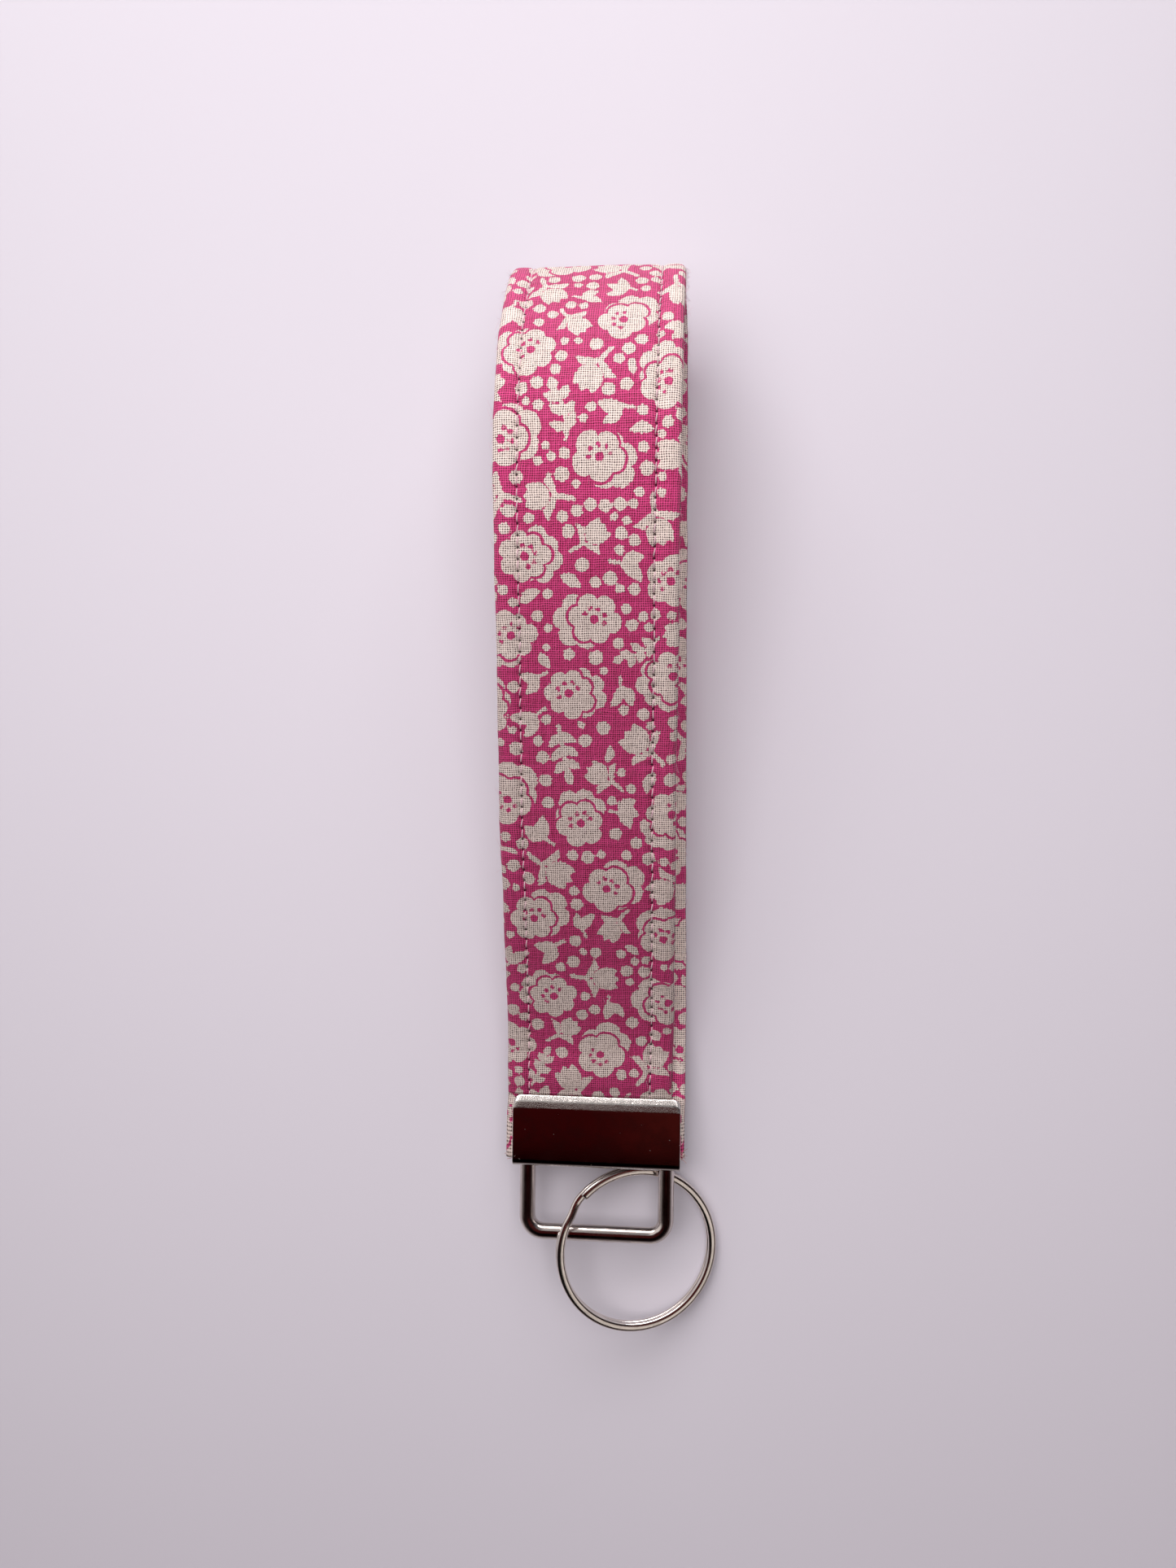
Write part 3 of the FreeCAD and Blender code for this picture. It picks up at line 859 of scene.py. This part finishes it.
def make_clamp(mat):
    """Bent sheet with two lips, swept across and cut for the wire's two legs."""
    inner = CLAMP_HALF - SHEET
    upper = [
        (LIP_Y, inner - LIP_DROP, 0.3),
        (LIP_Y, CLAMP_HALF - LIP_DROP, 0.4),
        (LIP_Y - 1.1, CLAMP_HALF - 0.38, 1.3),
        (LIP_BEND_Y, CLAMP_HALF, 2.4),
        (SPINE_Y, CLAMP_HALF, 1.15),
    ]
    lower = [(y, -z, r) for y, z, r in reversed(upper)]
    inside = [
        (LIP_BEND_Y, -inner, 0.5),
        (SPINE_Y + SHEET, -inner, 0.45),
        (SPINE_Y + SHEET, inner, 0.45),
        (LIP_BEND_Y, inner, 0.5),
    ]
    coarse = closed_rounded(upper + lower + inside, 7)
    # Long flat runs are divided, so that the lips can carry their worn, pitted surface.
    profile = []
    for here, after in zip(coarse, np.roll(coarse, -1, axis=0)):
        pieces = max(1, int(np.linalg.norm(after - here) / 0.3))
        for k in range(pieces):
            profile.append(here + (after - here) * k / pieces)
    profile = np.array(profile)
    area = np.sum(profile[:, 0] * np.roll(profile[:, 1], -1) - np.roll(profile[:, 0], -1) * profile[:, 1])
    if area < 0:
        profile = profile[::-1]
    normals = profile_normals(profile)
    width = CLAMP_WIDTH / 2
    bevel = 0.16
    turn = np.linspace(0, np.pi / 2, 5)
    stations = [(-width + bevel * (1 - math.sin(t)), bevel * (1 - math.cos(t))) for t in turn[::-1]]
    stations += [(x, 0.0) for x in np.arange(-width + 2 * bevel, width - 1.5 * bevel, 0.2)]
    stations += [(width - bevel * (1 - math.sin(t)), bevel * (1 - math.cos(t))) for t in turn]
    rng = np.random.default_rng(5)
    points, lips = [], []
    lip_corner = 1.6
    for x, inset in stations:
        ring = profile - normals * inset
        past = max(0.0, abs(x) - (width - lip_corner))
        retreat = lip_corner - math.sqrt(max(0.0, lip_corner ** 2 - past ** 2))
        lip = np.clip((ring[:, 0] - LIP_BEND_Y) / (LIP_Y - LIP_BEND_Y), 0, 1)
        pit = rng.normal(0, 0.002, len(ring)) * (lip > 0.08)
        y = ring[:, 0] - retreat * lip + normals[:, 0] * pit
        z = ring[:, 1] + normals[:, 1] * pit
        # Handling has left the long faces very slightly bowed.
        z = z + np.sign(z) * 0.05 * (1 - (x / width) ** 2) * (1 - lip)
        points.append(np.stack([np.full(len(ring), x), y, METAL_Z + z], axis=1))
        lips.append(lip > 0.05)
    faces = tube_faces(len(stations), len(profile))
    clamp = new_mesh("crimped_clamp", np.vstack(points), faces)
    attribute = clamp.data.attributes.new("lip", "FLOAT", "POINT")
    attribute.data.foreach_set("value", np.concatenate(lips).astype(np.float32))
    clamp.data.materials.append(mat)
    for side in (-1, 1):
        cutter = slot_cutter(side * LEG_X)
        cut = clamp.modifiers.new("slot", "BOOLEAN")
        cut.operation = "DIFFERENCE"
        cut.solver = "EXACT"
        cut.object = cutter
        apply_modifiers(clamp)
        bpy.data.objects.remove(cutter)
    return clamp


def slot_cutter(x_middle):
    """Rounded bar that cuts one leg's slot through the spine."""
    w, h, r = 3.8 / 2, 4.6 / 2, 0.6
    corners = [(-w, -h, r), (w, -h, r), (w, h, r), (-w, h, r)]
    outline = closed_rounded(corners, 5)
    rings = []
    for y in (SPINE_Y - 0.8, SPINE_Y + 1.6):
        rings.append([(x_middle + a, y, METAL_Z + b) for a, b in outline])
    return new_mesh("slot_cutter", np.vstack(rings), tube_faces(2, len(outline)), smooth=False)


def apply_modifiers(obj):
    """Replace a mesh by what its modifiers make of it."""
    graph = bpy.context.evaluated_depsgraph_get()
    mesh = bpy.data.meshes.new_from_object(obj.evaluated_get(graph), depsgraph=graph)
    old = obj.data
    obj.modifiers.clear()
    obj.data = mesh
    bpy.data.meshes.remove(old)


def swept(name, centre, across, up, outline, mat, scales):
    """Tube: an outline carried along a line, with its two axes and its scale given at each point."""
    stations, sides = len(centre), len(outline)
    ring = (
        centre[:, None, :]
        + across[:, None, :] * (outline[None, :, 0] * scales[:, None])[..., None]
        + up[:, None, :] * (outline[None, :, 1] * scales[:, None])[..., None]
    )
    tube = new_mesh(name, ring.reshape(-1, 3), tube_faces(stations, sides))
    tube.data.materials.append(mat)
    return tube


def make_wire_loop(mat):
    """Round wire bent to a rectangle that is open inside the clamp's spine."""
    end_x, pivot_bend, bar_bend = 8.0, 2.0, 3.2
    corners = [
        (-end_x, PIVOT_Y, 0),
        (-LEG_X, PIVOT_Y, pivot_bend),
        (-LEG_X, BAR_Y, bar_bend),
        (LEG_X, BAR_Y, bar_bend),
        (LEG_X, PIVOT_Y, pivot_bend),
        (end_x, PIVOT_Y, 0),
    ]
    coarse = rounded_path(corners, 14)
    line = []
    for here, after in zip(coarse, coarse[1:]):
        pieces = max(1, int(np.linalg.norm(after - here) / 0.6))
        line += [here + (after - here) * k / pieces for k in range(pieces)]
    line = np.array(line + [coarse[-1]])
    ahead = np.gradient(line, axis=0)
    ahead /= np.linalg.norm(ahead, axis=1)[:, None]
    # Rounded, sheared ends.
    cap = 0.35 * (1 - np.cos(np.linspace(0, np.pi / 2, 5)[:-1]))
    cap_scale = 1 - 0.35 * (1 - np.sin(np.linspace(0.25, np.pi / 2, 5)[:-1]))
    start = line[0] + ahead[0] * cap[:, None]
    end = line[-1] - ahead[-1] * cap[::-1, None]
    centre = np.vstack([start, line[1:-1], end])
    direction = np.repeat(ahead, [len(cap)] + [1] * (len(line) - 2) + [len(cap)], axis=0)
    scales = np.concatenate([cap_scale, np.ones(len(line) - 2), cap_scale[::-1]])
    count = len(centre)
    centre = np.column_stack([centre, np.full(count, METAL_Z)])
    across = np.column_stack([direction[:, 1], -direction[:, 0], np.zeros(count)])
    up = np.tile([0.0, 0.0, 1.0], (count, 1))
    angle = np.linspace(0, 2 * np.pi, 40, endpoint=False)
    outline = WIRE_RADIUS * np.stack([np.cos(angle), np.sin(angle)], axis=1)
    return swept("wire_loop_bright", centre, across, up, outline, mat, scales)


def make_split_ring(mat):
    """Two turns and their crank, as one wire of rounded flat section."""
    width, thick, gap = 1.6, 1.07, 0.06
    crank_from, crank_to, clearance = 137.5, 163.5, 2.5
    span = 360 - (crank_to - crank_from) - clearance
    angle = np.concatenate([
        np.arange(crank_from - span, crank_from, 2.0),
        np.linspace(crank_from, crank_to, 19),
        np.arange(crank_to + 2.0, crank_to + span, 2.0),
        [crank_to + span],
    ])
    share = np.clip((angle - crank_from) / (crank_to - crank_from), 0, 1)
    rise = share * share * (3 - 2 * share)
    level = (rise - 0.5) * (thick + gap)
    # The turns spring a little apart and the crank bows inwards.
    dent = 0.3 * np.exp(-((angle - (crank_from + crank_to) / 2) / 7.0) ** 2)
    radius = RING_RADIUS - dent
    a = np.radians(angle)
    centre = np.stack([radius * np.cos(a), radius * np.sin(a), level], axis=1)
    across = np.stack([np.cos(a), np.sin(a), np.zeros_like(a)], axis=1)
    up = np.tile([0.0, 0.0, 1.0], (len(a), 1))
    t = np.linspace(0, 2 * np.pi, 36, endpoint=False)
    squareness = 0.8
    outline = np.stack([
        width / 2 * np.sign(np.cos(t)) * np.abs(np.cos(t)) ** squareness,
        thick / 2 * np.sign(np.sin(t)) * np.abs(np.sin(t)) ** squareness,
    ], axis=1)
    tilt = math.radians(RING_TILT)
    turn = np.array([
        [math.cos(tilt), 0, math.sin(tilt)],
        [0, 1, 0],
        [-math.sin(tilt), 0, math.cos(tilt)],
    ])
    scales = np.ones(len(a))
    scales[[0, -1]] = 0.86
    centre = centre @ turn.T + np.array(RING_CENTRE)
    return swept("split_ring_bright", centre, across @ turn.T, up @ turn.T, outline, mat, scales)


# ---------------------------------------------------------------- stage
def flat_sheet(name, low, high, z):
    """Level rectangle between two corners."""
    corners = [(low[0], low[1], z), (high[0], low[1], z), (high[0], high[1], z), (low[0], high[1], z)]
    return new_mesh(name, corners, [[0, 1, 2, 3]], smooth=False)


def make_stage():
    """A plain table, and a dark card overhead that only the metal mirrors."""
    floor = flat_sheet("floor", (-900, -900), (900, 900), 0)
    mat, nodes, links, shader = material("table")
    g = Graph(nodes, links)
    coords = g.object_coords()
    cloudy = g.noise(coords, 6.0, 2.0)
    colour = g.mix(cloudy, (0.62, 0.585, 0.635, 1), (0.65, 0.615, 0.665, 1))
    links.new(colour, shader.inputs["Base Color"])
    shader.inputs["Roughness"].default_value = 0.55
    shader.inputs["Specular IOR Level"].default_value = 0.25
    floor.data.materials.append(mat)

    card = flat_sheet("dark_card", (-260, -620), (260, 60), 420)
    mat, nodes, links, shader = material("dark_card")
    g = Graph(nodes, links)
    split = nodes.new("ShaderNodeSeparateXYZ")
    links.new(g.object_coords(), split.inputs[0])
    glow = g.mix(g.ramp(split.outputs[0], -0.04, 0.015), (0.040, 0.002, 0.0025, 1), (0.066, 0.007, 0.006, 1))
    glow = g.mix(g.ramp(split.outputs[1], -0.2415, -0.2300), (0.0, 0.0, 0.0, 1), glow)
    links.new(glow, shader.inputs["Emission Color"])
    shader.inputs["Base Color"].default_value = (0.0, 0.0, 0.0, 1)
    shader.inputs["Specular IOR Level"].default_value = 0.0
    shader.inputs["Emission Strength"].default_value = 1.0
    card.data.materials.append(mat)
    card.visible_camera = False
    card.visible_diffuse = False
    card.visible_shadow = False
    card.visible_transmission = False


def area_light(name, at, towards, size, power, colour):
    """Rectangular lamp at one place, aimed at another, in metres."""
    data = bpy.data.lights.new(name, "AREA")
    data.shape = "RECTANGLE"
    data.size, data.size_y = size
    data.energy = power
    data.color = colour
    lamp = bpy.data.objects.new(name, data)
    bpy.context.scene.collection.objects.link(lamp)
    lamp.location = Vector(at)
    aim = Vector(towards) - Vector(at)
    lamp.rotation_euler = aim.to_track_quat("-Z", "Y").to_euler()
    return lamp


def make_lights():
    """A dim room, paler towards the horizon, and a wide window beyond the fold."""
    world = bpy.data.worlds.new("studio")
    world.use_nodes = True
    g = Graph(world.node_tree.nodes, world.node_tree.links)
    back = g.nodes["Background"]
    split = g.nodes.new("ShaderNodeSeparateXYZ")
    g.links.new(g.nodes.new("ShaderNodeTexCoord").outputs["Generated"], split.inputs[0])
    height = g.ramp(split.outputs[2], 0.1, 0.5)
    towards = g.ramp(split.outputs[1], -0.25, 0.7)
    low = g.mix(towards, (0.45, 0.40, 0.42, 1), (0.92, 0.88, 0.94, 1))
    leftwards = g.math("MULTIPLY_ADD", split.outputs[0], -0.6, split.outputs[1])
    overhead = g.ramp(leftwards, 0.05, 0.6)
    high = g.mix(overhead, (0.02, 0.006, 0.006, 1), (1.35, 1.28, 1.28, 1))
    # A darker stretch of ceiling, which the clamp's lip mirrors on its right.
    from_beam = g.math("ABSOLUTE", g.math("SUBTRACT", split.outputs[1], 0.6))
    beam = g.ramp(from_beam, 0.06, 0.26, 0.9, 0.0)
    beam = g.math("MULTIPLY", beam, g.ramp(split.outputs[0], -0.2, -0.04))
    high = g.mix(beam, high, (0.09, 0.10, 0.13, 1))
    g.links.new(g.mix(height, low, high), back.inputs["Color"])
    back.inputs["Strength"].default_value = 0.66
    bpy.context.scene.world = world
    middle = (0.0, -0.02, 0.0)
    window = area_light("window", (-0.04, 0.54, 0.40), middle, (0.9, 0.34), 3.0, (1.0, 0.965, 1.0))
    window.visible_glossy = False
    above, below = (-0.03, 0.06, 0.36), (-0.03, 0.06, 0.0)
    ceiling = area_light("ceiling", above, below, (0.36, 0.36), 1.15, (1.0, 0.97, 0.99))
    ceiling.visible_glossy = False
    # A low strip that shows only as a highlight on the metal.
    glint = area_light("glint", (-0.08, 0.62, 0.20), middle, (1.0, 0.24), 9.0, (1.0, 0.965, 0.98))
    glint.visible_diffuse = False


def light_ring(ring):
    """A weak warm lamp for the split ring alone."""
    lit = bpy.data.collections.new("ring_only")
    lit.objects.link(ring)
    centre = tuple(MM * value for value in RING_CENTRE)
    sheen = area_light("ring_sheen", (0.25, -0.31, 0.39), centre, (0.26, 0.26), 0.16, (1.0, 0.93, 0.88))
    sheen.light_linking.receiver_collection = lit


def make_camera():
    """Looks straight down, turned and tipped a little."""
    camera = bpy.data.cameras.new("camera")
    camera.sensor_width = 36.0
    camera.lens = 27.03
    camera.clip_start = 0.01
    obj = bpy.data.objects.new("camera", camera)
    bpy.context.scene.collection.objects.link(obj)
    turn = Matrix.Rotation(math.radians(0.67), 4, "Z") @ Matrix.Rotation(math.radians(5.25), 4, "Y")
    obj.matrix_world = Matrix.Translation((0.01842, -0.03528, 0.23571)) @ turn
    bpy.context.scene.camera = obj


# ---------------------------------------------------------------- assembly
def main():
    make_camera()
    make_stage()
    make_lights()

    strap = make_strap()
    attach(strap, "strap")
    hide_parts("strap_cover", "strap_core")

    thread = sewing_thread("topstitch_thread", (0.80, 0.64, 0.65, 1), (0.42, 0.18, 0.25, 1))
    for side_name, side in (("left", -1), ("right", 1)):
        for thread_name, sign in (("needle", 1), ("bobbin", -1)):
            row = make_stitches(f"{side_name}_{thread_name}_stitches", side, sign, thread)
            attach(row, "strap")
            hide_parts(f"{side_name}_{thread_name}_thread")

    fuzz = make_fuzz(sewing_thread("lint", (0.78, 0.62, 0.66, 1), (0.50, 0.22, 0.33, 1)))
    fray = make_fray(sewing_thread("raw_yarn", (0.62, 0.42, 0.36, 1), (0.36, 0.10, 0.13, 1)))
    for piece in (fuzz, fray):
        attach(piece, "strap")

    clamp = make_clamp(nickel("clamp_nickel", (0.60, 0.565, 0.53, 1), 0.06, 0.16, 0, speckle=True))
    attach(clamp, "strap")
    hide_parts("crimp_clamp")

    loop = make_wire_loop(nickel("wire_nickel", (0.66, 0.60, 0.56, 1), 0.12, 0.24, 1))
    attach(loop, "wire_loop")
    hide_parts("wire_loop")

    ring = make_split_ring(nickel("ring_nickel", (0.80, 0.73, 0.68, 1), 0.14, 0.24, 2))
    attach(ring, "split_ring")
    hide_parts("split_ring")
    light_ring(ring)

    bpy.context.scene.view_settings.view_transform = "Standard"


main()
